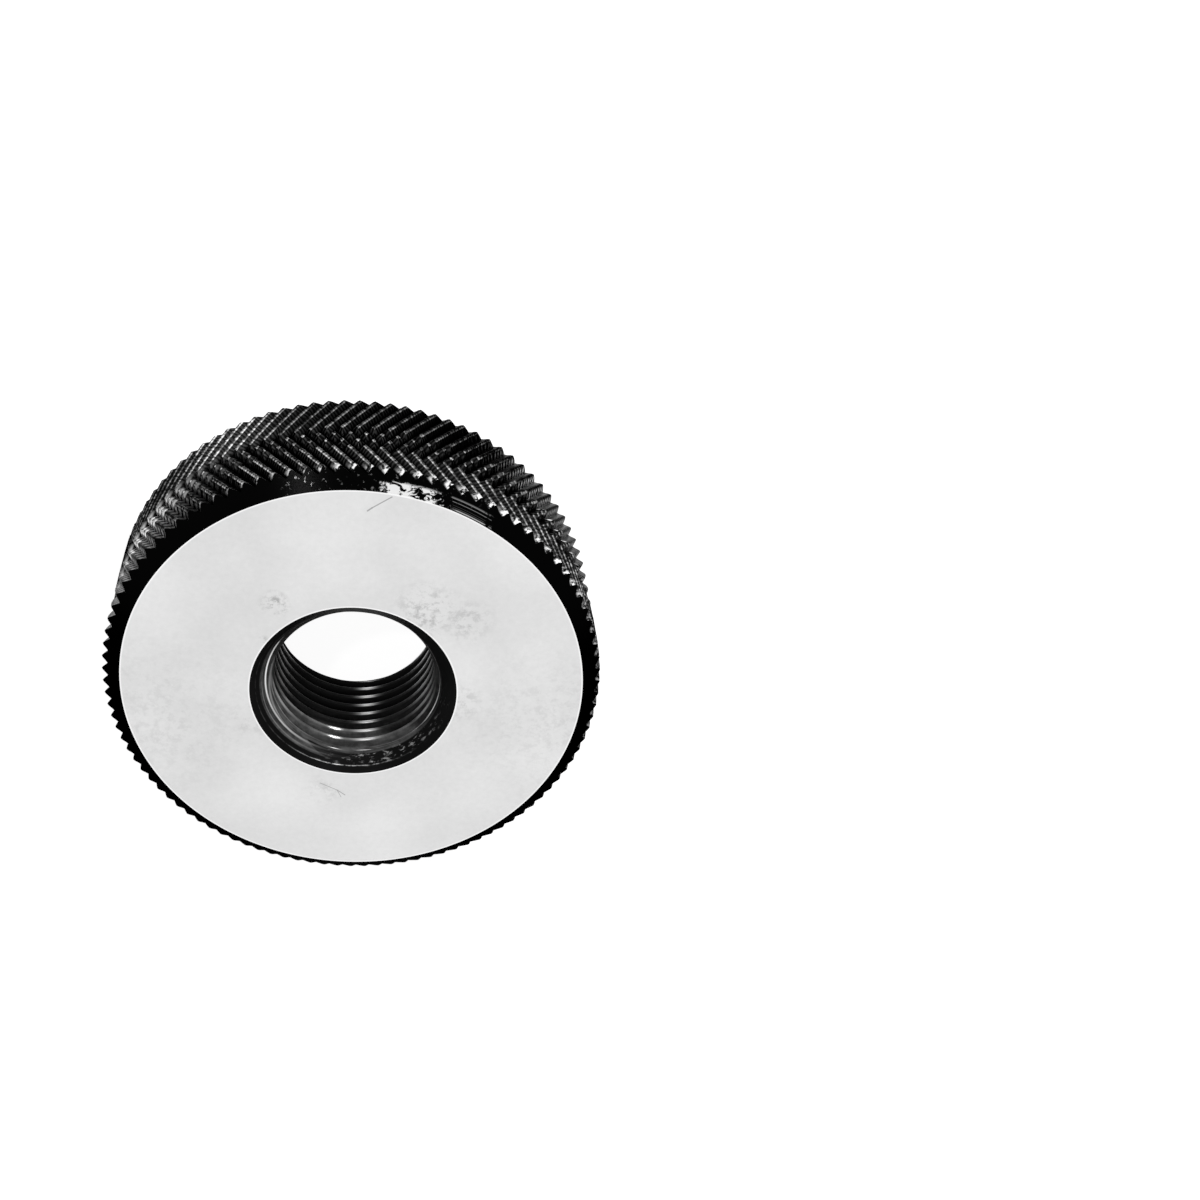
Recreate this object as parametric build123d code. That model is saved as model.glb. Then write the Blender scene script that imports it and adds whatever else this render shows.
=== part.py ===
from build123d import *
import math
import os

# Thread ring gauge for a 3/8 inch parallel pipe thread, 19 threads to the inch. One hardened steel ring,
# turned, knurled on its rim and ground flat on both faces. It lies on one face: the axis is +Z and the
# origin is the middle of the lower face. All sizes are in millimetres and degrees.

# ring blank
outer_diameter = 45.0      # over the crests of the knurl
thickness = 14.0           # from one ground face to the other
face_diameter = 41.6       # flat face inside the rim chamfer
rim_chamfer_height = 1.15  # axial length of the rim chamfer, up to the crests

# threaded bore, drawn here at the crests of its thread
bore_diameter = 14.95      # minor diameter of the thread
mouth_diameter = 18.7      # countersink where it meets the face
mouth_angle = 90.0         # included angle of the countersink

# knurl: one wheel rolled the upper band and another the lower band, and their grooves cross in between
tooth_count = 104          # grooves round the rim, the same for both wheels
tooth_depth = 0.6          # from crest to root
helix_angle = 30.0         # between a groove and the axis
crossed_rows = 3           # rows of diamonds where both wheels have rolled
crossed_offset = 0.6       # the middle of the crossed band lies this far above mid thickness

outer_radius = outer_diameter / 2
face_radius = face_diameter / 2
bore_radius = bore_diameter / 2
mouth_radius = mouth_diameter / 2
mouth_depth = (mouth_radius - bore_radius) / math.tan(math.radians(mouth_angle / 2))

# The knurl is a lattice of points on two cylinders, crests and roots by turns. Each point is half a tooth
# from the next one round the rim. Each row is as high as a groove needs to move round by half a tooth.
half_tooth = 180.0 / tooth_count
row_height = math.pi * outer_diameter / tooth_count / 2 / math.tan(math.radians(helix_angle))
crossed_bottom = thickness / 2 + crossed_offset - crossed_rows * row_height / 2
rows_below = math.ceil(max(crossed_bottom, 0) / row_height) + 1
rows_above = math.ceil(max(thickness - crossed_bottom, 0) / row_height) + 1


def knurl_point(column, row):
    """A point of the lattice: a root where column and row add up to an even number, a crest elsewhere."""
    is_crest = (column + row) % 2 == 1
    radius = outer_radius if is_crest else outer_radius - tooth_depth
    angle = math.radians(column * half_tooth)
    height = crossed_bottom + row * row_height
    return Vector(radius * math.cos(angle), radius * math.sin(angle), height)


def leans_right(column, row):
    """Whether the fold across one square of the lattice runs up and to the right, seen from outside."""
    if row < 0:
        return True                       # lower band: every ridge and groove leans to the right
    if row >= crossed_rows:
        return False                      # upper band: every ridge and groove leans to the left
    return (column + row) % 2 == 0        # crossed band: the fold follows the groove, root to root


def square_faces(column, row):
    """The two flat facets between four neighbouring points of the lattice."""
    low_left = knurl_point(column, row)
    low_right = knurl_point(column + 1, row)
    top_left = knurl_point(column, row + 1)
    top_right = knurl_point(column + 1, row + 1)
    if leans_right(column, row):
        corners = [(low_left, low_right, top_right), (low_left, top_right, top_left)]
    else:
        corners = [(low_left, low_right, top_left), (low_right, top_right, top_left)]
    return [Face(Wire.make_polygon(triangle, close=True)) for triangle in corners]


def end_face(row):
    """A flat star that closes the knurled bar at one row of the lattice."""
    outline = [knurl_point(column, row) for column in range(2 * tooth_count)]
    return Face(Wire.make_polygon(outline, close=True))


def knurled_bar():
    """A solid bar with the whole knurl on it, longer than the ring is thick."""
    rows = range(-rows_below, rows_above)
    tooth = [facet for row in rows for column in (0, 1) for facet in square_faces(column, row)]
    facets = [Rot(Z=turn * 2 * half_tooth) * facet for turn in range(tooth_count) for facet in tooth]
    ends = [end_face(-rows_below), end_face(rows_above)]
    return Solid(Shell(facets + ends))


def ring_blank():
    """The turned ring: flat faces, rim chamfers that run on past the crests, and the countersunk bore."""
    spread = outer_radius - face_radius
    rim_radius = outer_radius + spread
    chamfer_run = 2 * rim_chamfer_height
    section = Polyline(
        (mouth_radius, 0),
        (face_radius, 0),
        (rim_radius, chamfer_run),
        (rim_radius, thickness - chamfer_run),
        (face_radius, thickness),
        (mouth_radius, thickness),
        (bore_radius, thickness - mouth_depth),
        (bore_radius, mouth_depth),
        close=True,
    )
    return revolve(Plane.XZ * make_face(section), Axis.Z)


gauge_ring = ring_blank() & knurled_bar()
gauge_ring.label = "gauge_ring"

os.makedirs("parts", exist_ok=True)
export_step(gauge_ring, "parts/gauge_ring.step")
print(f"gauge_ring: {gauge_ring.volume:.1f} cubic mm, row height {row_height:.3f} mm, {len(gauge_ring.faces())} faces")
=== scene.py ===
import math

import bpy
import numpy as np
from mathutils import Euler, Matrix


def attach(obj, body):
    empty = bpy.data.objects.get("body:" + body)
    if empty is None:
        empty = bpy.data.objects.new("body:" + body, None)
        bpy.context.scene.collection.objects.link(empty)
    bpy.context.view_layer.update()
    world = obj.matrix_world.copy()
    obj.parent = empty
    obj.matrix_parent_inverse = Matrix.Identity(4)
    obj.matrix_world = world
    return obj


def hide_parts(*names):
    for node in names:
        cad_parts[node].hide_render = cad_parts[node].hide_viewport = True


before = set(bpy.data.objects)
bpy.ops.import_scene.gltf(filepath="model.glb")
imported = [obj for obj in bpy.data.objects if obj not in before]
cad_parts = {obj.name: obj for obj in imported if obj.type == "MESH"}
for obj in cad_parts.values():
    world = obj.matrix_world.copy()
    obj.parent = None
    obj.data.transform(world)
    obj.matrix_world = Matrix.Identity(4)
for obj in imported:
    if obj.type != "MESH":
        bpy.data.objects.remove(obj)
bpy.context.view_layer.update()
scene = bpy.context.scene
scene.view_settings.view_transform = "Standard"
mm = 0.001


def hexColour(code):
    # sRGB hex to linear: below 0.04045 it is a straight line, above it a power of 2.4
    channel = np.array([int(code[i:i + 2], 16) for i in (1, 3, 5)]) / 255
    linear = np.where(channel <= 0.04045, channel / 12.92, ((channel + 0.055) / 1.055) ** 2.4)
    return (*(float(v) for v in linear), 1.0)


def addNode(tree, kind, settings=None, **inputs):
    # one node with its properties, its socket values and the links into it; n0, n1 are sockets by number
    node = tree.nodes.new("ShaderNode" + kind)
    for name, value in (settings or {}).items():
        setattr(node, name, value)
    for name, value in inputs.items():
        key = int(name[1:]) if name[0] == "n" and name[1:].isdigit() else name.replace("_", " ")
        socket = node.inputs[key]
        if isinstance(value, bpy.types.NodeSocket):
            tree.links.new(value, socket)
        else:
            socket.default_value = value
    return node


def newMaterial(name):
    # an empty material and its tree of nodes
    material = bpy.data.materials.new(name)
    material.use_nodes = True
    material.node_tree.nodes.clear()
    return material, material.node_tree


# sizes in mm and degrees
ring = {
    "outerDiameter": 45.0, "thickness": 14.0,
    "faceDiameter": 41.6, "rimChamferHeight": 1.15,
    "boreDiameter": 14.95, "mouthDiameter": 18.7,
    "faceRings": ((17.0, 2), (13.0, 4)),     # radius, and how many rim points there are to one of its own
    "sharpFrom": 42.0,                       # facets that meet at more than this keep a sharp edge
}
knurl = {
    "teeth": 104, "depth": 0.6, "helix": 30.0,
    "crossedRows": 3, "crossedOffset": 0.6,
    "crestRound": 0.15,        # how far the crest is rounded, as a share of half a tooth
    "columnsPerHalfTooth": 4, "rowsPerLatticeRow": 4,
}
thread = {
    "pitch": 1.337, "majorDiameter": 16.662, "rounding": 0.137329, "flankAngle": 27.5,
    "startHeight": 0.06,       # height of a crest at the +X side
    "columns": 208, "rowsPerTurn": 20,
}

outerRadius, faceRadius = ring["outerDiameter"] / 2, ring["faceDiameter"] / 2
boreRadius, mouthRadius = ring["boreDiameter"] / 2, ring["mouthDiameter"] / 2
thickness = ring["thickness"]
halfTooth = 180 / knurl["teeth"]
rowHeight = math.pi * ring["outerDiameter"] / knurl["teeth"] / 2 / math.tan(math.radians(knurl["helix"]))
crossedBottom = thickness / 2 + knurl["crossedOffset"] - knurl["crossedRows"] * rowHeight / 2
faceSlot, knurlSlot, boreSlot, chamferSlot = range(4)


def grooveShare(phase):
    # 0 on a crest, 1 in a root, straight flanks in between and the crest rounded off by a hyperbola
    flank = np.abs(np.mod(phase, 2) - 1)
    soft = knurl["crestRound"]
    return (np.sqrt(flank ** 2 + soft ** 2) - soft) / (math.sqrt(1 + soft ** 2) - soft)


def knurlShares(angle, height):
    # how deep each wheel has cut: the upper wheel's grooves lean left, the lower wheel's lean right
    column = angle / halfTooth
    row = (height - crossedBottom) / rowHeight
    leaningLeft = np.where(row >= -1e-9, grooveShare(column + row), -1.0)
    leaningRight = np.where(row <= knurl["crossedRows"] + 1e-9, grooveShare(column - row), -1.0)
    return leaningLeft, leaningRight


def knurlRadius(angle, height):
    # crest radius less the deeper of the two wheels' cuts
    leaningLeft, leaningRight = knurlShares(angle, height)
    return outerRadius - knurl["depth"] * np.maximum(leaningLeft, leaningRight)


def rimConeRadius(depth):
    # the rim chamfer widens from the flat face to the crests, and on past them
    return faceRadius + depth * (outerRadius - faceRadius) / ring["rimChamferHeight"]


def chamferDepth(angle, fromTop):
    # depth below the face at which the chamfer meets the knurl, by halving the interval
    low, high = np.zeros_like(angle), np.full_like(angle, ring["rimChamferHeight"])
    for _ in range(40):
        middle = (low + high) / 2
        height = thickness - middle if fromTop else middle
        outside = knurlRadius(angle, height) > rimConeRadius(middle)
        low, high = np.where(outside, middle, low), np.where(outside, high, middle)
    return (low + high) / 2


def threadRadius(angle, height):
    # parallel pipe thread by the distance from the crest's middle: round crest, straight flanks, round root
    pitch = thread["pitch"]
    turn = (height - thread["startHeight"]) / pitch - angle / 360
    away = np.abs(np.mod(turn + 0.5, 1) - 0.5) * pitch
    arc = thread["rounding"] * pitch
    flank = math.radians(thread["flankAngle"])
    tangent = arc * math.cos(flank)
    crest = boreRadius + arc - np.sqrt(np.maximum(arc ** 2 - away ** 2, 0))
    straight = boreRadius + arc * (1 - math.sin(flank)) + (away - tangent) / math.tan(flank)
    root = thread["majorDiameter"] / 2 - arc + np.sqrt(np.maximum(arc ** 2 - (pitch / 2 - away) ** 2, 0))
    return np.where(away < tangent, crest, np.where(away > pitch / 2 - tangent, root, straight))


def countersinkRadius(height):
    # a 45 degree cone from the mouth of the nearer face
    return mouthRadius - np.minimum(height, thickness - height)


def threadOverCone(angle, height):
    # how much further from the axis the thread lies than the countersink: below 0 the countersink shows
    return threadRadius(angle, height) - countersinkRadius(height)


def boreSurface(angle, height):
    # whichever lies further from the axis: the thread or the countersink of either face
    return np.maximum(threadRadius(angle, height), countersinkRadius(height))


def quadTriangles(index, leansRight=True):
    # two triangles for each square of an index grid, folded along the diagonal that is asked for
    a, b = index[:-1, :-1], index[:-1, 1:]
    d, c = index[1:, :-1], index[1:, 1:]
    right = np.stack([np.stack([a, b, c], -1), np.stack([a, c, d], -1)], -2)
    left = np.stack([np.stack([a, b, d], -1), np.stack([b, c, d], -1)], -2)
    return np.where(np.broadcast_to(leansRight, a.shape)[..., None, None], right, left).reshape(-1, 3)


def halvingTriangles(outer, inner):
    # joins a ring to one with half as many points: three triangles to each point of the inner ring
    o0, o1, o2 = outer[0:-1:2], outer[1::2], outer[2::2]
    i0, i1 = inner[:-1], inner[1:]
    corners = (i0, o0, o1), (i0, o1, i1), (i1, o1, o2)
    return np.concatenate([np.stack(corner, -1) for corner in corners])


def endMarks(rows, first, last):
    # the sharp edges that a grid's first and last rows lie on, by number, and 0 for the rows in between
    marks = np.zeros((rows, 1), int)
    marks[0] = first
    marks[-1] = last
    return marks


def ringSurface():
    # the rim, the bore and the faces as grids of points, with triangles, a material and sharp edges for each
    points, triangles, slots, creases = [], [], [], []
    count = 0

    def addGrid(angle, radius, height, crease=0):
        # stores a grid of points and returns their numbers
        nonlocal count
        turn = np.radians(angle)
        points.append(np.stack([radius * np.cos(turn), radius * np.sin(turn), height], -1).reshape(-1, 3))
        index = count + np.arange(angle.size).reshape(angle.shape)
        count += angle.size
        creases.append(np.broadcast_to(crease, angle.shape).reshape(-1))
        return index

    def addTriangles(faces, slot):
        triangles.append(faces)
        slots.append(np.full(len(faces), slot))

    # sharp edges: 1 and 2 knurl to chamfer, 3 and 4 chamfer to face, 5 and 6 countersink to face
    columns = 2 * knurl["teeth"] * knurl["columnsPerHalfTooth"]
    around = np.arange(columns + 1) * (360 / columns)
    lowDepth, highDepth = chamferDepth(around, False), chamferDepth(around, True)

    # knurl: rows on the lattice that the grooves cross on, which stop 0.3 of a step short of the chamfers,
    # and two more rows at each end to reach them
    step = 1 / knurl["rowsPerLatticeRow"]
    firstRow = math.ceil((ring["rimChamferHeight"] - crossedBottom) / rowHeight / step + 0.3)
    lastRow = math.floor((thickness - ring["rimChamferHeight"] - crossedBottom) / rowHeight / step - 0.3)
    lattice = crossedBottom + rowHeight * step * np.arange(firstRow, lastRow + 1)
    share = np.linspace(0, 1, 3)[:-1, None]
    lowRows = lowDepth + share * (lattice[0] - lowDepth)
    highRows = thickness - highDepth + share * (lattice[-1] - thickness + highDepth)
    heights = np.concatenate([lowRows, np.repeat(lattice[:, None], columns + 1, 1), highRows[::-1]])
    angles = np.broadcast_to(around, heights.shape)
    knurlIndex = addGrid(angles, knurlRadius(angles, heights), heights, endMarks(len(heights), 1, 2))
    middleAngle = (angles[:-1, :-1] + angles[:-1, 1:]) / 2
    middleHeight = (heights[:-1, :-1] + heights[1:, 1:]) / 2
    leaningLeft, leaningRight = knurlShares(middleAngle, middleHeight)
    addTriangles(quadTriangles(knurlIndex, leaningRight > leaningLeft), knurlSlot)

    # rim chamfers: three rows of squares each, from the lower face up and from the knurl up
    chamferShare = np.linspace(0, 1, 4)[:, None]
    lowDepths, highDepths = chamferShare * lowDepth, chamferShare[::-1] * highDepth
    wide = np.broadcast_to(around, lowDepths.shape)
    lowChamfer = addGrid(wide, rimConeRadius(lowDepths), lowDepths, endMarks(4, 3, 1))
    highChamfer = addGrid(wide, rimConeRadius(highDepths), thickness - highDepths, endMarks(4, 2, 4))
    addTriangles(quadTriangles(lowChamfer), chamferSlot)
    addTriangles(quadTriangles(highChamfer), chamferSlot)

    # bore: rows climb with the thread, and stop where they meet a face
    boreAround = np.arange(thread["columns"] + 1) * (360 / thread["columns"])
    rows = math.ceil((thickness / thread["pitch"] + 1) * thread["rowsPerTurn"]) + 1
    boreHeights = (np.arange(rows)[:, None] / thread["rowsPerTurn"] - 1 + boreAround / 360) * thread["pitch"]
    boreHeights = np.clip(boreHeights, 0, thickness)
    boreAngles = np.broadcast_to(boreAround, boreHeights.shape)
    boreMarks = 5 * (boreHeights == 0) + 6 * (boreHeights == thickness)
    boreIndex = addGrid(boreAngles, boreSurface(boreAngles, boreHeights), boreHeights, boreMarks)
    addTriangles(quadTriangles(boreIndex)[:, ::-1], boreSlot)

    # faces: rings of points that thin out towards the bore
    for height, rimRing, boreRing, upward in (
        (thickness, highChamfer[-1], boreIndex[-1], True),
        (0.0, lowChamfer[0], boreIndex[0], False),
    ):
        rings = [rimRing]
        for radius, every in ring["faceRings"]:
            turns = around[None, ::every]
            rings.append(addGrid(turns, np.full(turns.shape, radius), np.full(turns.shape, height))[0])
        faces = [halvingTriangles(outer, inner) for outer, inner in zip(rings[:-1], rings[1:])]
        faces.append(quadTriangles(np.stack([boreRing, rings[-1]]))[:, ::-1])
        faces = np.concatenate(faces)
        addTriangles(faces if upward else faces[:, ::-1], faceSlot)
    return tuple(np.concatenate(part) for part in (points, triangles, slots, creases))


def weld(points, faces, slots, marks):
    # points that coincide to 0.00001 mm become one, and the triangles that this leaves without area go
    _, first, group = np.unique(np.round(points, 5), axis=0, return_index=True, return_inverse=True)
    faces = group.reshape(-1)[faces]
    keep = (faces[:, 0] != faces[:, 1]) & (faces[:, 1] != faces[:, 2]) & (faces[:, 2] != faces[:, 0])
    return points[first], faces[keep], slots[keep], marks[first]


# where the finishes are worn and where highlights, sheen and shadow are painted, in mm and degrees;
# each bell in square brackets has the turn round the ring to its middle, its reach on both sides and its
# strength
wearAndPaintedLight = {
    "handledAndLitAll": 0.35, "handledAndLit": [(275, 75, 0.65)],      # ridges rubbed by hands: all round, and more here as a painted highlight; this also sets the painted sheen
    "upperRubAndLit": 0.9, "crossedRubAndLit": 0.95, "lowerRubAndLit": 0.35,             # by band, for the rubbing and the painted sheen
    "lowerRidgeHighlight": [(299, 9, 1.6)],                         # painted highlight on the lower band's ridges
    "flankHighlight": [(329, 17, 1.9)], "crossedFlank": 0.8,    # painted highlight on the flanks of the upper band and the crossed rows
    "lowerFlankHighlight": [(217, 12, 1.9)],                       # painted highlight on the flanks of the lower band
    "endAll": 0.35, "end": [(242, 28, 2.6)],               # ends of the ridges at the upper chamfer: worn all round, and a painted highlight here
    "endReach": 0.9,                                       # how far down from it they are bare
    "edge": [(5, 40, 0.25), (172, 38, 1.0)],               # painted highlight where the thread runs out on the countersink
    "lip": [(84, 26, 1.0), (0, 60, 0.08)],                 # painted highlight ring near the countersink's mouth
    "line": [(348, 42, 1.0), (40, 16, 0.3)], "lineBottom": 12.3,       # painted highlight line where the last groove opens
    "fleck": [(118, 34, 1.0)],                             # flecks on the black land
    # painted highlights on the thread crests, and on the last crest at 75 degrees
    "crestAll": 0.05, "crest": [(98, 7, 1.0), (22, 14, 0.45), (152, 15, 0.6)],
    "lastCrest": [(75, 3.6, 1.2)], "lastCrestBottom": 9.0,
    "lastCrestRadius": 7.8, "lastCrestWidth": 0.07,
    # the black land on the countersink, oil blacking widened by painted shadow: it starts as a wedge where
    # the last groove runs out, and widens
    # round the bore: degrees and radius of each bend of its two edges
    "landInner": ((60, 7.8), (85, 8.03)),
    "landOuter": ((54.5, 7.8), (64, 8.3), (76.5, 8.6), (78.5, 9.6), (280, 9.6), (300, 7.6)),
    "landBottom": 12.25,
    "lipFrom": 8.5,            # the lip is black all round from this radius out
}


def bells(angle, name):
    # each bell falls off on both sides as e to the minus square of the way off over the reach
    total = 0.0
    for centre, reach, strength in wearAndPaintedLight[name]:
        away = np.mod(angle - centre + 180, 360) - 180
        total = total + strength * np.exp(-(away / reach) ** 2)
    return total


def surfaceShares(points):
    # what the materials need to know at each point: the cuts, the wear, where highlights, sheen and shadow
    # are painted, and the thread's run-out
    angle = np.degrees(np.arctan2(points[:, 1], points[:, 0])) % 360
    radius = np.hypot(points[:, 0], points[:, 1])
    height = points[:, 2]
    onUpperHalf = height > thickness / 2

    # the knurl's three bands, and the way down from the chamfer's cut
    upperCut, lowerCut = knurlShares(angle, height)
    upperBand = np.clip((height - crossedBottom) / rowHeight - knurl["crossedRows"] + 0.5, 0, 1)
    lowerBand = np.clip((crossedBottom - height) / rowHeight + 0.5, 0, 1)
    crossedBand = 1 - upperBand - lowerBand
    rubAndLit = wearAndPaintedLight["upperRubAndLit"] * upperBand + wearAndPaintedLight["crossedRubAndLit"] * crossedBand + wearAndPaintedLight["lowerRubAndLit"] * lowerBand
    toUpperCut = thickness - chamferDepth(angle, True) - height
    atEnd = np.clip(1 - toUpperCut / wearAndPaintedLight["endReach"], 0, 1)

    # the thread: 0 on its crest and 1 in its root; how far it lies over the countersink, divided by the slope
    # of that over 0.04 mm of height (never under 0.9), is the way to the run-out in mm
    toRoot = (threadRadius(angle, height) - boreRadius) / (thread["majorDiameter"] / 2 - boreRadius)
    overCone = threadOverCone(angle, height)
    slope = np.abs(threadOverCone(angle, height + 0.02) - threadOverCone(angle, height - 0.02)) / 0.04
    lastCrest = np.exp(-((radius - wearAndPaintedLight["lastCrestRadius"]) / wearAndPaintedLight["lastCrestWidth"]) ** 2)
    landInner = np.interp(angle, *zip(*wearAndPaintedLight["landInner"]))
    landOuter = np.interp(angle, *zip(*wearAndPaintedLight["landOuter"]))
    aboveLand = height - wearAndPaintedLight["landBottom"]
    return {
        "upper_cut": upperCut,
        "lower_cut": lowerCut,
        "cross_cut": grooveShare(angle / halfTooth - (height - crossedBottom) / rowHeight),
        "rubbedAndLit": (wearAndPaintedLight["handledAndLitAll"] + bells(angle, "handledAndLit")) * rubAndLit
        + bells(angle, "lowerRidgeHighlight") * lowerBand,
        "flank_highlight": bells(angle, "flankHighlight") * (upperBand + wearAndPaintedLight["crossedFlank"] * crossedBand),
        "lower_flank_highlight": bells(angle, "lowerFlankHighlight") * lowerBand,
        "bare_and_lit_end": atEnd * (wearAndPaintedLight["endAll"] + bells(angle, "end")),
        "run_out": overCone / np.maximum(slope, 0.9),
        "edge_shine": bells(angle, "edge") * onUpperHalf,
        "lip_shine": bells(angle, "lip") * onUpperHalf,
        "line_shine": bells(angle, "line") * (height > wearAndPaintedLight["lineBottom"]),
        "flecked": bells(angle, "fleck") * onUpperHalf,
        "thread_crest": np.where(overCone < 0.002, lastCrest, 1 - toRoot),
        "crest_shine": wearAndPaintedLight["crestAll"] + bells(angle, "crest")
        + bells(angle, "lastCrest") * (height > wearAndPaintedLight["lastCrestBottom"]),
        "black_land_and_shadow": np.minimum(np.minimum(radius - landInner, landOuter - radius), aboveLand),
        "black_lip": np.minimum(radius - wearAndPaintedLight["lipFrom"], aboveLand),
    }


def buildRing():
    coordinates, faces, slots, marks = weld(*ringSurface())
    mesh = bpy.data.meshes.new("finished_ring")
    mesh.vertices.add(len(coordinates))
    mesh.vertices.foreach_set("co", (coordinates * mm).astype(np.float32).ravel())
    mesh.loops.add(3 * len(faces))
    mesh.loops.foreach_set("vertex_index", faces.astype(np.int32).ravel())
    mesh.polygons.add(len(faces))
    mesh.polygons.foreach_set("loop_start", np.arange(0, 3 * len(faces), 3, dtype=np.int32))
    mesh.polygons.foreach_set("material_index", slots.astype(np.int32))
    mesh.update(calc_edges=True)
    for name, values in surfaceShares(coordinates).items():
        mesh.attributes.new(name, "FLOAT", "POINT").data.foreach_set("value", values.astype(np.float32))
    mended = mesh.validate(verbose=False)

    # smooth all over, but for steep folds off the rounded crests and the edges that are marked
    mesh.shade_smooth()
    mesh.set_sharp_from_angle(angle=math.radians(ring["sharpFrom"]))
    ends = np.empty(2 * len(mesh.edges), np.int32)
    mesh.edges.foreach_get("vertices", ends)
    start, end = ends.reshape(-1, 2).T
    sharp = np.empty(len(mesh.edges), bool)
    mesh.attributes["sharp_edge"].data.foreach_get("value", sharp)
    onCrest = np.hypot(coordinates[:, 0], coordinates[:, 1]) > outerRadius - 0.01
    sharp &= ~(onCrest[start] & onCrest[end])
    sharp |= (marks[start] > 0) & (marks[start] == marks[end])
    mesh.attributes["sharp_edge"].data.foreach_set("value", sharp)
    piece = bpy.data.objects.new("finished_ring", mesh)
    scene.collection.objects.link(piece)
    print(f"ring: {len(faces)} triangles, {len(coordinates)} points, mended {mended}")
    return piece


def ringPlace(tree):
    # the point, its height and its distance from the axis in mm, and its turn round the axis in radians
    local = addNode(tree, "TexCoord").outputs["Object"]
    inMm = addNode(tree, "VectorMath", {"operation": "SCALE"}, n0=local, Scale=1000.0).outputs[0]
    parts = addNode(tree, "SeparateXYZ", n0=inMm).outputs
    flat = addNode(tree, "CombineXYZ", X=parts[0], Y=parts[1]).outputs[0]
    radius = addNode(tree, "VectorMath", {"operation": "LENGTH"}, n0=flat).outputs["Value"]
    turn = addNode(tree, "Math", {"operation": "ARCTAN2"}, n0=parts[1], n1=parts[0]).outputs[0]
    return {"mm": inMm, "height": parts[2], "radius": radius, "turn": turn}


face = {
    "light": "#E6E6E6", "dull": "#D8D8D8", "pitAndShade": "#8E8E8E", "edge": "#FFFFFF", "roughness": 0.36,
    "cloudScale": 0.10, "grainScale": 1.8, "spotScale": 1.1,      # noise per mm: 10, 0.5 and 0.9 mm across
    "grinding": (0.25, 5.0, 1.0),            # wheel marks per mm: 4 mm long and 0.2 mm apart
    "edgeWidth": 0.17,                       # mm of painted highlight along the rim and the mouth
    "scratches": [                           # both ends on the upper face, and half the width, mm
        ((-1.87, -19.18), (-3.52, -20.22), 0.07),
        ((-1.87, -19.18), (-1.50, -18.90), 0.09),
        ((3.34, 10.54), (1.76, 11.42), 0.05),
        ((1.76, 11.42), (1.01, 12.05), 0.06),
        ((1.76, 11.42), (1.40, 12.30), 0.04),
    ],
    "smudgesAndShade": [                             # middle on the upper face, reach in mm, and strength; the last two are painted shade
        ((6.56, -9.68), 1.6, 0.75),
        ((-6.60, -8.90), 3.6, 0.55),
        ((-10.0, -8.00), 2.8, 0.40),
        ((7.72, -5.69), 0.8, 0.60),
        ((9.60, 3.00), 2.4, 0.30),
        ((-9.80, 1.00), 2.6, 0.35),
        ((3.00, 11.40), 2.2, 0.30),
        # painted shade: these two wide ones darken the face towards its left and right sides
        ((17.5, 3.00), 11.0, 0.16),
        ((-17.5, 3.00), 11.0, 0.16),
    ],
}


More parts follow.
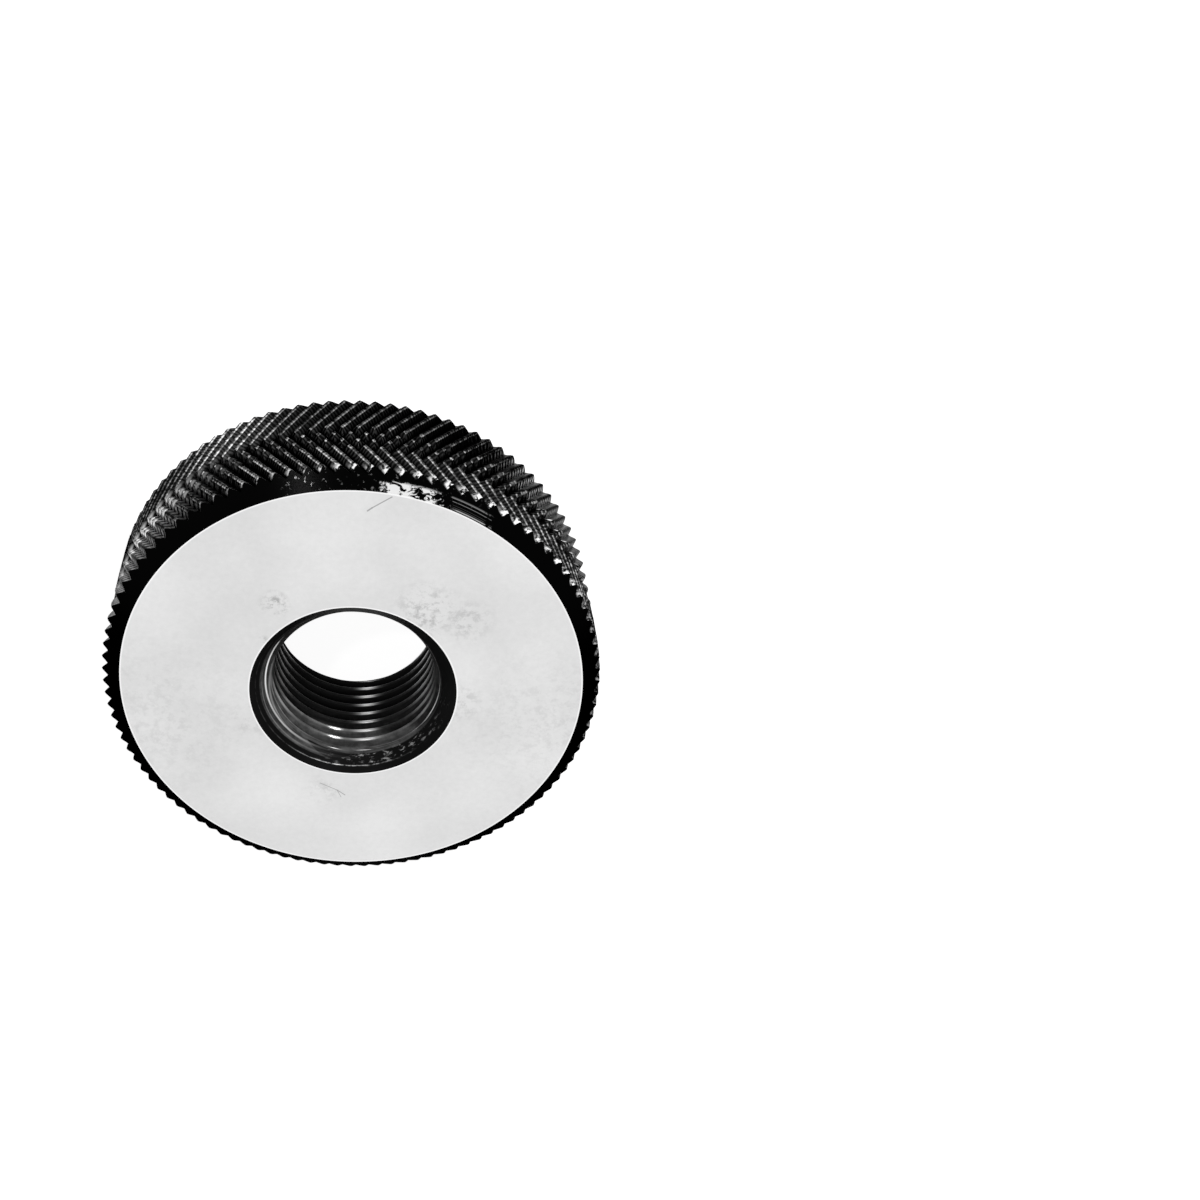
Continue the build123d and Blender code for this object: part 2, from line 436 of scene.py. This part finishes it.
def groundSteel():
    # hardened tool steel, surface ground: a light satin grey with faint straight grinding lines, fine pits,
    # a few smudges by the bore and hairline scratches, with painted shade towards its left and right sides
    # and a painted highlight along its edges
    material, tree = newMaterial("ground_tool_steel")
    place = ringPlace(tree)
    cloud = addNode(tree, "TexNoise", Vector=place["mm"], Scale=face["cloudScale"], Detail=2.0).outputs[0]
    grain = addNode(tree, "TexNoise", Vector=place["mm"], Scale=face["grainScale"],
                    Detail=3.0, Roughness=0.7).outputs[0]
    tone = addNode(tree, "Math", {"operation": "MULTIPLY_ADD"}, n0=grain, n1=0.45, n2=cloud)
    tone = addNode(tree, "MapRange", n0=tone.outputs[0], n1=0.50, n2=0.95)
    colour = addNode(tree, "Mix", {"data_type": "RGBA"}, n0=tone.outputs[0],
                     n6=hexColour(face["dull"]), n7=hexColour(face["light"])).outputs[2]

    # pits gather in the smudges, and the two widest are painted shade: each fades out from its middle and is
    # broken up by noise
    smearAndShade = 0.0
    for (x, y), reach, strength in face["smudgesAndShade"]:
        away = addNode(tree, "VectorMath", {"operation": "DISTANCE"}, n0=place["mm"], n1=(x, y, thickness))
        near = addNode(tree, "MapRange", n0=away.outputs["Value"], n1=reach, n2=0.2 * reach, n4=strength)
        smearAndShade = addNode(tree, "Math", {"operation": "MAXIMUM"}, n0=near.outputs[0], n1=smearAndShade).outputs[0]
    spots = addNode(tree, "TexNoise", Vector=place["mm"], Scale=face["spotScale"],
                    Detail=5.0, Roughness=0.75).outputs[0]
    spots = addNode(tree, "MapRange", n0=spots, n1=0.48, n2=0.62).outputs[0]
    pitsAndShade = addNode(tree, "Math", {"operation": "MULTIPLY"}, n0=smearAndShade, n1=spots).outputs[0]
    colour = addNode(tree, "Mix", {"data_type": "RGBA"}, n0=pitsAndShade, n6=colour,
                     n7=hexColour(face["pitAndShade"])).outputs[2]

    for start, end, width in face["scratches"]:
        # the distance from the point to the nearest point of the scratch's straight line
        run = (end[0] - start[0], end[1] - start[1], 0.0)
        square = run[0] ** 2 + run[1] ** 2
        start = (start[0], start[1], thickness)
        fromStart = addNode(tree, "VectorMath", {"operation": "SUBTRACT"}, n0=place["mm"], n1=start)
        fromStart = fromStart.outputs[0]
        share = addNode(tree, "VectorMath", {"operation": "DOT_PRODUCT"}, n0=fromStart,
                        n1=(run[0] / square, run[1] / square, 0.0))
        share = addNode(tree, "Clamp", n0=share.outputs["Value"]).outputs[0]
        foot = addNode(tree, "VectorMath", {"operation": "SCALE"}, n0=run, Scale=share).outputs[0]
        away = addNode(tree, "VectorMath", {"operation": "DISTANCE"}, n0=fromStart, n1=foot)
        mark = addNode(tree, "MapRange", n0=away.outputs["Value"], n1=width, n2=0.3 * width, n4=0.8)
        colour = addNode(tree, "Mix", {"data_type": "RGBA"}, n0=mark.outputs[0], n6=colour,
                         n7=hexColour(face["pitAndShade"])).outputs[2]

    # a painted highlight: a bright line where the face meets the chamfer and the countersink
    width = face["edgeWidth"]
    rim = addNode(tree, "MapRange", n0=place["radius"], n1=faceRadius - width, n2=faceRadius - 0.03)
    mouth = addNode(tree, "MapRange", n0=place["radius"], n1=mouthRadius + width, n2=mouthRadius + 0.03)
    line = addNode(tree, "Math", {"operation": "MAXIMUM"}, n0=rim.outputs[0], n1=mouth.outputs[0]).outputs[0]
    colour = addNode(tree, "Mix", {"data_type": "RGBA"}, n0=line, n6=colour,
                     n7=hexColour(face["edge"])).outputs[2]

    # wheel marks 0.05 mm apart are too fine to show, so they are drawn 0.2 mm apart
    marks = addNode(tree, "Mapping", Vector=place["mm"], Scale=face["grinding"]).outputs[0]
    marks = addNode(tree, "TexNoise", Vector=marks, Scale=1.0, Detail=2.0).outputs[0]
    bump = addNode(tree, "Bump", Strength=0.15, Distance=0.00001, Height=marks).outputs[0]
    shader = addNode(tree, "BsdfPrincipled", Metallic=1.0, Base_Color=colour,
                     Roughness=face["roughness"], Normal=bump)
    addNode(tree, "OutputMaterial", Surface=shader.outputs[0])
    return material


knurlFinish = {
    # the sheen colour is a painted sheen on the flanks; the bright colour is bare steel and painted
    # highlights
    "black": "#070707", "sheen": "#343434", "bareAndGlint": "#EDEDED", "roughness": 0.28,
    "edgeTint": 0.12,            # dulls the glancing glare
    "tickPitch": 0.42,           # mm between the fine marks along a ridge
    "ticksRound": 168,           # the same marks counted once round the ring, a whole number
    "coarseRound": 94,           # the coarse marks, counted the same way: 0.75 mm apart
    "tickGap": 0.45,             # how bare the crest stays between two marks
    "unevenScale": 1.2,          # noise per mm that shifts the marks, 0.8 mm across
    "unevenShift": 10.0,         # by up to this much, in radians of their sine
    "speckScale": 2.3,           # noise per mm that breaks up the wear, 0.4 mm across
    "rubbedAndLitAt": 0.15,            # depth of the crest lines, rubbed and partly painted highlight, as a share of the groove's
}


def blackenedKnurl():
    # rolled knurl, oil blackened: near black, with the blacking rubbed to bare steel on crests and cut ends,
    # partly painted highlights, and a painted sheen and painted highlights on the flanks; the roll's own fine
    # marks lie 0.28 mm apart along each ridge and are drawn 0.42 mm apart to show
    material, tree = newMaterial("blackened_knurled_steel")
    place = ringPlace(tree)
    upper, lower, crossCut, rubbedAndLit, flankHighlight, lowerFlankHighlight, bareAndLitEnd = (
        addNode(tree, "Attribute", {"attribute_name": name}).outputs["Fac"]
        for name in ("upper_cut", "lower_cut", "cross_cut", "rubbedAndLit",
                     "flank_highlight", "lower_flank_highlight", "bare_and_lit_end")
    )
    groove = addNode(tree, "Math", {"operation": "MAXIMUM"}, n0=upper, n1=lower).outputs[0]

    # marks across a ridge: a sine of the way along it, so the sign of the turn follows the ridge's lean
    lean = addNode(tree, "Math", {"operation": "GREATER_THAN"}, n0=upper, n1=lower).outputs[0]
    lean = addNode(tree, "MapRange", n0=lean, n3=knurlFinish["ticksRound"], n4=-knurlFinish["ticksRound"])
    sweep = addNode(tree, "Math", {"operation": "MULTIPLY"}, n0=place["turn"], n1=lean.outputs[0]).outputs[0]
    rise = 2 * math.pi * math.cos(math.radians(knurl["helix"])) / knurlFinish["tickPitch"]
    phase = addNode(tree, "Math", {"operation": "MULTIPLY_ADD"}, n0=place["height"], n1=rise, n2=sweep)
    uneven = addNode(tree, "TexNoise", Vector=place["mm"], Scale=knurlFinish["unevenScale"], Detail=2.0)
    phase = addNode(tree, "Math", {"operation": "MULTIPLY_ADD"}, n0=uneven.outputs[0],
                    n1=knurlFinish["unevenShift"], n2=phase.outputs[0]).outputs[0]
    ticks = addNode(tree, "Math", {"operation": "SINE"}, n0=phase).outputs[0]
    ticks = addNode(tree, "MapRange", n0=ticks, n1=-0.4, n2=0.8).outputs[0]

    # a ridge is rubbed to bare steel in specks along both edges of its rounded top, and less so between them;
    # where the rubbed share is high they are painted highlights too
    specks = addNode(tree, "TexNoise", Vector=place["mm"], Scale=knurlFinish["speckScale"],
                     Detail=3.0, Roughness=0.6).outputs[0]
    specks = addNode(tree, "MapRange", n0=specks, n1=0.44, n2=0.56).outputs[0]
    beside = addNode(tree, "Math", {"operation": "SUBTRACT"}, n0=groove, n1=knurlFinish["rubbedAndLitAt"])
    beside = addNode(tree, "Math", {"operation": "ABSOLUTE"}, n0=beside.outputs[0]).outputs[0]
    crest = addNode(tree, "MapRange", n0=beside, n1=0.09, n2=0.03).outputs[0]
    top = addNode(tree, "MapRange", n0=groove, n1=0.12, n2=0.06, n4=0.3).outputs[0]
    ridge = addNode(tree, "Math", {"operation": "MAXIMUM"}, n0=crest, n1=top).outputs[0]
    patchy = addNode(tree, "MapRange", n0=specks, n3=0.15, n4=1.0).outputs[0]
    broken = addNode(tree, "MapRange", n0=ticks, n3=knurlFinish["tickGap"], n4=1.0).outputs[0]
    for share in (patchy, broken, rubbedAndLit):
        ridge = addNode(tree, "Math", {"operation": "MULTIPLY"}, n0=ridge, n1=share).outputs[0]
    ridge = addNode(tree, "Clamp", n0=ridge).outputs[0]

    # the ends that the chamfer has cut are bare in specks, less so towards the groove's root, and painted
    # brighter near 242 degrees as a highlight
    ends = addNode(tree, "MapRange", n0=groove, n1=0.8, n2=0.5).outputs[0]
    ends = addNode(tree, "Math", {"operation": "MULTIPLY"}, n0=ends, n1=bareAndLitEnd).outputs[0]
    ends = addNode(tree, "Math", {"operation": "MULTIPLY"}, n0=ends, n1=specks).outputs[0]
    ends = addNode(tree, "Clamp", n0=ends).outputs[0]

    # painted highlights on the flanks, in strokes: the other wheel's faint cuts comb those of the upper band,
    # and the coarse marks those of the lower band
    strokes = addNode(tree, "MapRange", n0=crossCut, n1=0.65, n2=0.35).outputs[0]
    strokes = addNode(tree, "Math", {"operation": "MULTIPLY"}, n0=strokes, n1=flankHighlight).outputs[0]
    coarse = knurlFinish["coarseRound"] / knurlFinish["ticksRound"]
    coarse = addNode(tree, "Math", {"operation": "MULTIPLY"}, n0=phase, n1=coarse).outputs[0]
    coarse = addNode(tree, "Math", {"operation": "SINE"}, n0=coarse).outputs[0]
    coarse = addNode(tree, "MapRange", n0=coarse, n1=0.0, n2=0.5).outputs[0]
    coarse = addNode(tree, "Math", {"operation": "MULTIPLY"}, n0=coarse, n1=lowerFlankHighlight).outputs[0]
    flankHighlights = addNode(tree, "Math", {"operation": "MAXIMUM"}, n0=strokes, n1=coarse).outputs[0]
    belowTop = addNode(tree, "MapRange", n0=groove, n1=0.1, n2=0.5).outputs[0]
    flankHighlights = addNode(tree, "Math", {"operation": "MULTIPLY"}, n0=flankHighlights, n1=belowTop).outputs[0]
    flankHighlights = addNode(tree, "Clamp", n0=flankHighlights).outputs[0]

    # elsewhere the flanks have a painted dull sheen in the rhythm of the fine marks
    sheen = addNode(tree, "MapRange", n0=groove, n1=0.95, n2=0.5).outputs[0]
    ribbed = addNode(tree, "MapRange", n0=ticks, n3=0.1, n4=1.0).outputs[0]
    sheen = addNode(tree, "Math", {"operation": "MULTIPLY"}, n0=sheen, n1=ribbed).outputs[0]
    sheen = addNode(tree, "Math", {"operation": "MULTIPLY"}, n0=sheen, n1=rubbedAndLit).outputs[0]
    sheen = addNode(tree, "Clamp", n0=sheen).outputs[0]

    colour = addNode(tree, "Mix", {"data_type": "RGBA"}, n0=sheen, n6=hexColour(knurlFinish["black"]),
                     n7=hexColour(knurlFinish["sheen"])).outputs[2]
    bareAndGlint = addNode(tree, "Math", {"operation": "MAXIMUM"}, n0=ridge, n1=ends).outputs[0]
    bareAndGlint = addNode(tree, "Math", {"operation": "MAXIMUM"}, n0=bareAndGlint, n1=flankHighlights).outputs[0]
    colour = addNode(tree, "Mix", {"data_type": "RGBA"}, n0=bareAndGlint, n6=colour,
                     n7=hexColour(knurlFinish["bareAndGlint"])).outputs[2]
    bump = addNode(tree, "Bump", Strength=0.4, Distance=0.00003, Height=ticks).outputs[0]
    tint = (*[knurlFinish["edgeTint"]] * 3, 1.0)
    shader = addNode(tree, "BsdfPrincipled", Metallic=1.0, Base_Color=colour, Specular_Tint=tint,
                     Roughness=knurlFinish["roughness"], Normal=bump)
    addNode(tree, "OutputMaterial", Surface=shader.outputs[0])
    return material


chamferFinish = {
    # the grey and the bright colour are wear and a painted glint
    "black": "#050505", "wornAndLit": "#6A6A6A", "bareAndGlint": "#E6E6E6", "roughness": 0.2,
    "edgeTint": 0.12,            # dulls the glancing glare
    "ringPitch": 0.15,           # mm between turning lines
    "patchScale": 2.4,           # noise per mm, specks 0.4 mm across
    "flakes": (0.9, 1.9, 1.9),   # noise per mm, flakes 1 mm by 0.5 mm
    "markWidth": 0.75,           # mm from the face that chips and bright rings reach
    # degrees round the ring, and degrees of reach
    "speckedAt": -97.0, "speckedReach": 24.0, "speckedFull": 8.0,
    "chipAndGlintAt": -104.0, "chipAndGlintReach": 6.5,
    "ringGlintAt": -118.0, "ringGlintReach": 5.0,
    "raggedBy": 8.0,             # degrees by which noise moves the ends of the last two
}


def blackenedTurning():
    # chamfer turned and then oil blackened: black and smoother than the knurl, with fine rings and a few
    # specks, partly wear and partly a painted glint;
    # one spot by the face is chipped to bare steel and painted white as a glint, and beside it the rings are
    # painted bright as a highlight
    material, tree = newMaterial("blackened_turned_steel")
    place = ringPlace(tree)
    degrees = addNode(tree, "Math", {"operation": "DEGREES"}, n0=place["turn"]).outputs[0]
    rings = addNode(tree, "TexNoise", {"noise_dimensions": "1D"}, W=place["radius"],
                    Scale=1 / chamferFinish["ringPitch"], Detail=1.0).outputs[0]
    patch = addNode(tree, "TexNoise", Vector=place["mm"], Scale=chamferFinish["patchScale"],
                    Detail=3.0, Roughness=0.6).outputs[0]
    # grey specks near -97 degrees, partly wear and partly a painted glint
    specks = addNode(tree, "MapRange", n0=patch, n1=0.63, n2=0.70).outputs[0]
    aside = addNode(tree, "Math", {"operation": "SUBTRACT"}, n0=degrees, n1=chamferFinish["speckedAt"])
    aside = addNode(tree, "Math", {"operation": "ABSOLUTE"}, n0=aside.outputs[0]).outputs[0]
    near = addNode(tree, "MapRange", n0=aside,
                   n1=chamferFinish["speckedReach"], n2=chamferFinish["speckedFull"])
    specks = addNode(tree, "Math", {"operation": "MULTIPLY"}, n0=specks, n1=near.outputs[0]).outputs[0]
    colour = addNode(tree, "Mix", {"data_type": "RGBA"}, n0=specks, n6=hexColour(chamferFinish["black"]),
                     n7=hexColour(chamferFinish["wornAndLit"])).outputs[2]

    onTop = addNode(tree, "Math", {"operation": "GREATER_THAN"}, n0=place["height"], n1=thickness / 2)
    flakes = addNode(tree, "Mapping", Vector=place["mm"], Scale=chamferFinish["flakes"]).outputs[0]
    flakes = addNode(tree, "TexNoise", Vector=flakes, Scale=1.0, Detail=4.0, Roughness=0.7, Distortion=0.8)
    chipGlints = addNode(tree, "MapRange", n0=flakes.outputs[0], n1=0.49, n2=0.52).outputs[0]
    lines = addNode(tree, "MapRange", n0=rings, n1=0.52, n2=0.64, n4=0.45).outputs[0]
    reached = faceRadius + chamferFinish["markWidth"]
    nearFace = addNode(tree, "MapRange", n0=place["radius"], n1=reached + 0.2, n2=reached).outputs[0]
    marked = addNode(tree, "Math", {"operation": "MULTIPLY"}, n0=nearFace, n1=onTop.outputs[0]).outputs[0]
    # painted glint on the chip, and painted highlight on the turning rings beside it
    for centre, reach, pattern in (
        (chamferFinish["chipAndGlintAt"], chamferFinish["chipAndGlintReach"], chipGlints),
        (chamferFinish["ringGlintAt"], chamferFinish["ringGlintReach"], lines),
    ):
        away = addNode(tree, "Math", {"operation": "SUBTRACT"}, n0=degrees, n1=centre).outputs[0]
        away = addNode(tree, "Math", {"operation": "ABSOLUTE"}, n0=away).outputs[0]
        ragged = addNode(tree, "Math", {"operation": "MULTIPLY_ADD"}, n0=patch,
                         n1=chamferFinish["raggedBy"], n2=away).outputs[0]
        near = addNode(tree, "MapRange", n0=ragged, n1=reach + 4.0, n2=reach + 3.0).outputs[0]
        near = addNode(tree, "Math", {"operation": "MULTIPLY"}, n0=near, n1=marked).outputs[0]
        mark = addNode(tree, "Math", {"operation": "MULTIPLY"}, n0=near, n1=pattern).outputs[0]
        colour = addNode(tree, "Mix", {"data_type": "RGBA"}, n0=mark, n6=colour,
                         n7=hexColour(chamferFinish["bareAndGlint"])).outputs[2]
    bump = addNode(tree, "Bump", Strength=0.3, Distance=0.00001, Height=rings).outputs[0]
    tint = (*[chamferFinish["edgeTint"]] * 3, 1.0)
    shader = addNode(tree, "BsdfPrincipled", Metallic=1.0, Base_Color=colour, Specular_Tint=tint,
                     Roughness=chamferFinish["roughness"], Normal=bump)
    addNode(tree, "OutputMaterial", Surface=shader.outputs[0])
    return material


boreFinish = {
    "film": "#444444", "streak": "#626262", "deepShade": "#141414", "black": "#050505", "edge": "#F2F2F2",
    "roughness": 0.35, "specular": 0.05,
    "rings": (0.25, 0.25, 4.0),  # noise per mm: rings 0.25 mm apart
    "paintedShadeUpTo": 6.5, "paintedShadeGoneAt": 9.5,        # heights between which the painted shade deep in the bore gives way to the grey film
    "patchScale": 1.1,           # noise per mm that breaks up the grey, 0.9 mm across
    "edgeWidth": 0.08,           # mm of painted highlight along the edge where the thread runs out on the countersink
    "lipRadius": 8.84, "lipWidth": 0.05,     # a painted highlight ring on the countersink
    "lineRadius": 8.0, "lineWidth": 0.10,    # a painted highlight line where the last groove opens
    "fleckRound": 9.0, "fleckAcross": 4.0,   # noise per radian and per mm: flecks 1 mm by 0.25 mm
    "fleckInside": 8.75,         # flecks fade out beyond this radius
}


def lappedThread():
    # thread lapped with paste: a dull grey film in rings, painted dark as shade deeper in the bore, with
    # painted highlights on the crests and where it runs out on the countersink, and the outer part of the
    # countersink oil blackened, widened by painted shadow
    material, tree = newMaterial("lapped_thread_steel")
    place = ringPlace(tree)
    runOut, edgeShine, lipShine, lineShine, flecked, threadCrest, crestShine, blackLandAndShadow, blackLip = (
        addNode(tree, "Attribute", {"attribute_name": name}).outputs["Fac"]
        for name in ("run_out", "edge_shine", "lip_shine", "line_shine", "flecked",
                     "thread_crest", "crest_shine", "black_land_and_shadow", "black_lip")
    )
    rings = addNode(tree, "Mapping", Vector=place["mm"], Scale=boreFinish["rings"]).outputs[0]
    rings = addNode(tree, "TexNoise", Vector=rings, Scale=1.0, Detail=3.0).outputs[0]
    streak = addNode(tree, "MapRange", n0=rings, n1=0.4, n2=0.65).outputs[0]
    colour = addNode(tree, "Mix", {"data_type": "RGBA"}, n0=streak, n6=hexColour(boreFinish["film"]),
                     n7=hexColour(boreFinish["streak"])).outputs[2]

    # painted shade: the film is grey in patches on the upper turns, and painted dark below them, deeper in
    # the bore
    wornAndLit = addNode(tree, "MapRange", n0=place["height"],
                   n1=boreFinish["paintedShadeUpTo"], n2=boreFinish["paintedShadeGoneAt"])
    patches = addNode(tree, "TexNoise", Vector=place["mm"], Scale=boreFinish["patchScale"],
                      Detail=4.0, Roughness=0.65).outputs[0]
    patches = addNode(tree, "MapRange", n0=patches, n1=0.36, n2=0.60, n3=0.45).outputs[0]
    wornAndLit = addNode(tree, "Math", {"operation": "MULTIPLY"}, n0=wornAndLit.outputs[0], n1=patches).outputs[0]
    colour = addNode(tree, "Mix", {"data_type": "RGBA"}, n0=wornAndLit, n6=hexColour(boreFinish["deepShade"]),
                     n7=colour).outputs[2]
    # black: the oil blacked countersink, and painted shadow in the wedge and band where the last groove runs
    # out
    black = addNode(tree, "Math", {"operation": "MAXIMUM"}, n0=blackLandAndShadow, n1=blackLip).outputs[0]
    black = addNode(tree, "MapRange", n0=black, n1=-0.03, n2=0.03).outputs[0]
    colour = addNode(tree, "Mix", {"data_type": "RGBA"}, n0=black, n6=colour,
                     n7=hexColour(boreFinish["black"])).outputs[2]

    # painted highlight along the thread's run-out
    gap = addNode(tree, "Math", {"operation": "ABSOLUTE"}, n0=runOut).outputs[0]
    width = boreFinish["edgeWidth"]
    edge = addNode(tree, "MapRange", n0=gap, n1=width, n2=0.3 * width).outputs[0]
    edge = addNode(tree, "Math", {"operation": "MULTIPLY"}, n0=edge, n1=edgeShine).outputs[0]

    # one noise, stretched round the bore, breaks the lip's painted highlight ring and gives the flecks on the
    # black land
    radius = place["radius"]
    across = addNode(tree, "Math", {"operation": "MULTIPLY"}, n0=radius, n1=boreFinish["fleckAcross"])
    sweep = addNode(tree, "Math", {"operation": "MULTIPLY"}, n0=place["turn"], n1=boreFinish["fleckRound"])
    grain = addNode(tree, "CombineXYZ", X=sweep.outputs[0], Y=across.outputs[0]).outputs[0]
    grain = addNode(tree, "TexNoise", Vector=grain, Scale=1.0, Detail=3.0, Roughness=0.7).outputs[0]
    broken = addNode(tree, "MapRange", n0=grain, n1=0.40, n2=0.58).outputs[0]
    lip = addNode(tree, "Math", {"operation": "SUBTRACT"}, n0=radius, n1=boreFinish["lipRadius"])
    lip = addNode(tree, "Math", {"operation": "ABSOLUTE"}, n0=lip.outputs[0]).outputs[0]
    lip = addNode(tree, "MapRange", n0=lip, n1=boreFinish["lipWidth"], n2=0.0, n4=0.8).outputs[0]
    line = addNode(tree, "Math", {"operation": "SUBTRACT"}, n0=radius, n1=boreFinish["lineRadius"])
    line = addNode(tree, "Math", {"operation": "ABSOLUTE"}, n0=line.outputs[0]).outputs[0]
    width = boreFinish["lineWidth"]
    line = addNode(tree, "MapRange", n0=line, n1=width, n2=0.3 * width).outputs[0]
    line = addNode(tree, "Math", {"operation": "MULTIPLY"}, n0=line, n1=lineShine).outputs[0]
    flecks = addNode(tree, "MapRange", n0=grain, n1=0.55, n2=0.68, n4=0.5).outputs[0]
    inside = boreFinish["fleckInside"]
    inside = addNode(tree, "MapRange", n0=radius, n1=inside + 0.2, n2=inside).outputs[0]
    for share in (lipShine, broken):
        lip = addNode(tree, "Math", {"operation": "MULTIPLY"}, n0=lip, n1=share).outputs[0]
    for share in (flecked, inside, black):
        flecks = addNode(tree, "Math", {"operation": "MULTIPLY"}, n0=flecks, n1=share).outputs[0]
    # painted highlights on the thread crests
    crest = addNode(tree, "MapRange", n0=threadCrest, n1=0.80, n2=0.97).outputs[0]
    crest = addNode(tree, "Math", {"operation": "MULTIPLY"}, n0=crest, n1=crestShine).outputs[0]
    crest = addNode(tree, "Clamp", n0=crest).outputs[0]
    bareAndGlint = edge
    for mark in (lip, line, flecks, crest):
        bareAndGlint = addNode(tree, "Math", {"operation": "MAXIMUM"}, n0=bareAndGlint, n1=mark).outputs[0]
    colour = addNode(tree, "Mix", {"data_type": "RGBA"}, n0=bareAndGlint, n6=colour,
                     n7=hexColour(boreFinish["edge"])).outputs[2]
    bump = addNode(tree, "Bump", Strength=0.15, Distance=0.00002, Height=rings).outputs[0]
    shader = addNode(tree, "BsdfPrincipled", Metallic=bareAndGlint, Base_Color=colour, Normal=bump,
                     Roughness=boreFinish["roughness"], Specular_IOR_Level=boreFinish["specular"])
    addNode(tree, "OutputMaterial", Surface=shader.outputs[0])
    return material


studio = {
    "floorColour": "#D8D8D8", "floorLift": 0.95, "floorSize": 3.0,      # metres
    "worldColour": "#FFFFFF", "worldLight": 0.08,
}


def shownShare(tree):
    # 1 for rays from the camera and those that the metal mirrors, 0 for the rays that light the ring
    path = addNode(tree, "LightPath").outputs
    shown = path["Is Camera Ray"]
    for kind in ("Is Glossy Ray", "Is Transmission Ray"):
        shown = addNode(tree, "Math", {"operation": "ADD", "use_clamp": True}, n0=shown, n1=path[kind])
        shown = shown.outputs[0]
    return shown


def buildFloor():
    # pale paper that keeps the shadow, lifted to white where it is seen
    side = studio["floorSize"] / 2
    corners = [(-side, -side, 0), (side, -side, 0), (side, side, 0), (-side, side, 0)]
    mesh = bpy.data.meshes.new("studio_floor")
    mesh.from_pydata(corners, [], [(0, 1, 2, 3)])
    floor = bpy.data.objects.new("studio_floor", mesh)
    scene.collection.objects.link(floor)
    material, tree = newMaterial("white_paper_sweep")
    lift = addNode(tree, "Math", {"operation": "MULTIPLY"}, n0=shownShare(tree), n1=studio["floorLift"])
    paper = addNode(tree, "BsdfDiffuse", Color=hexColour(studio["floorColour"]))
    glow = addNode(tree, "Emission", Color=hexColour("#FFFFFF"), Strength=lift.outputs[0])
    both = addNode(tree, "AddShader", n0=paper.outputs[0], n1=glow.outputs[0])
    addNode(tree, "OutputMaterial", Surface=both.outputs[0])
    mesh.materials.append(material)
    print(f"floor: {studio['floorSize']} m square")


def buildWorld():
    # soft light from all round, white where it is seen
    world = bpy.data.worlds.new("soft_studio")
    world.use_nodes = True
    tree = world.node_tree
    tree.nodes.clear()
    level = addNode(tree, "MapRange", n0=shownShare(tree), n3=studio["worldLight"], n4=1.0)
    sky = addNode(tree, "Background", Color=hexColour(studio["worldColour"]), Strength=level.outputs[0])
    addNode(tree, "OutputWorld", Surface=sky.outputs[0])
    scene.world = world
    print(f"world: strength {studio['worldLight']}")


lamps = {
    # azimuth and elevation of the lamp seen from the ring, distance, width and height (m), watts
    "low_lamp": (244, 17, 0.50, 0.02, 0.015, 2.2),
    "high_lamp": (292, 47, 0.50, 0.03, 0.02, 0.15),
}


def buildLamps():
    # each lamp stands off along its azimuth and elevation, and faces the middle of the ring
    for name, (azimuth, elevation, distance, width, height, power) in lamps.items():
        light = bpy.data.lights.new(name, "AREA")
        light.shape = "RECTANGLE"
        light.size, light.size_y = width, height
        light.energy = power
        lamp = bpy.data.objects.new(name, light)
        a, e = math.radians(azimuth), math.radians(elevation)
        along, up = distance * math.cos(e), distance * math.sin(e)
        lamp.location = (along * math.cos(a), along * math.sin(a), up + thickness / 2 * mm)
        lamp.rotation_euler = Euler((math.radians(90 - elevation), 0, math.radians(azimuth + 90)))
        scene.collection.objects.link(lamp)
    print(f"lamps: {len(lamps)}")


camera = {
    "place": (-3.835, -82.166, 123.278), "turn": (-39.710, -2.464, -177.956),  # mm and degrees
    "lens": 45.14, "sensor": 36.0, "shift": (0.1, 0.1383),                     # mm and shares of the sensor
    "clipStart": 0.005,                                                        # metres
}


def buildCamera():
    # looks down on the upper face, with the lens shifted so that the ring stands to one side of the frame
    lens = bpy.data.cameras.new("camera")
    lens.sensor_fit = "HORIZONTAL"
    lens.sensor_width, lens.lens = camera["sensor"], camera["lens"]
    lens.shift_x, lens.shift_y = camera["shift"]
    lens.clip_start = camera["clipStart"]
    view = bpy.data.objects.new("camera", lens)
    view.location = [v * mm for v in camera["place"]]
    view.rotation_euler = Euler([math.radians(v) for v in camera["turn"]])
    scene.collection.objects.link(view)
    scene.camera = view
    print(f"camera: {camera['lens']} mm lens")


buildCamera()
buildFloor()
buildWorld()
buildLamps()
piece = buildRing()
finishes = {
    faceSlot: groundSteel, knurlSlot: blackenedKnurl,
    boreSlot: lappedThread, chamferSlot: blackenedTurning,
}
for slot in sorted(finishes):
    piece.data.materials.append(finishes[slot]())
print(f"finishes: {len(finishes)}")
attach(piece, "root")
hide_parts("gauge_ring")
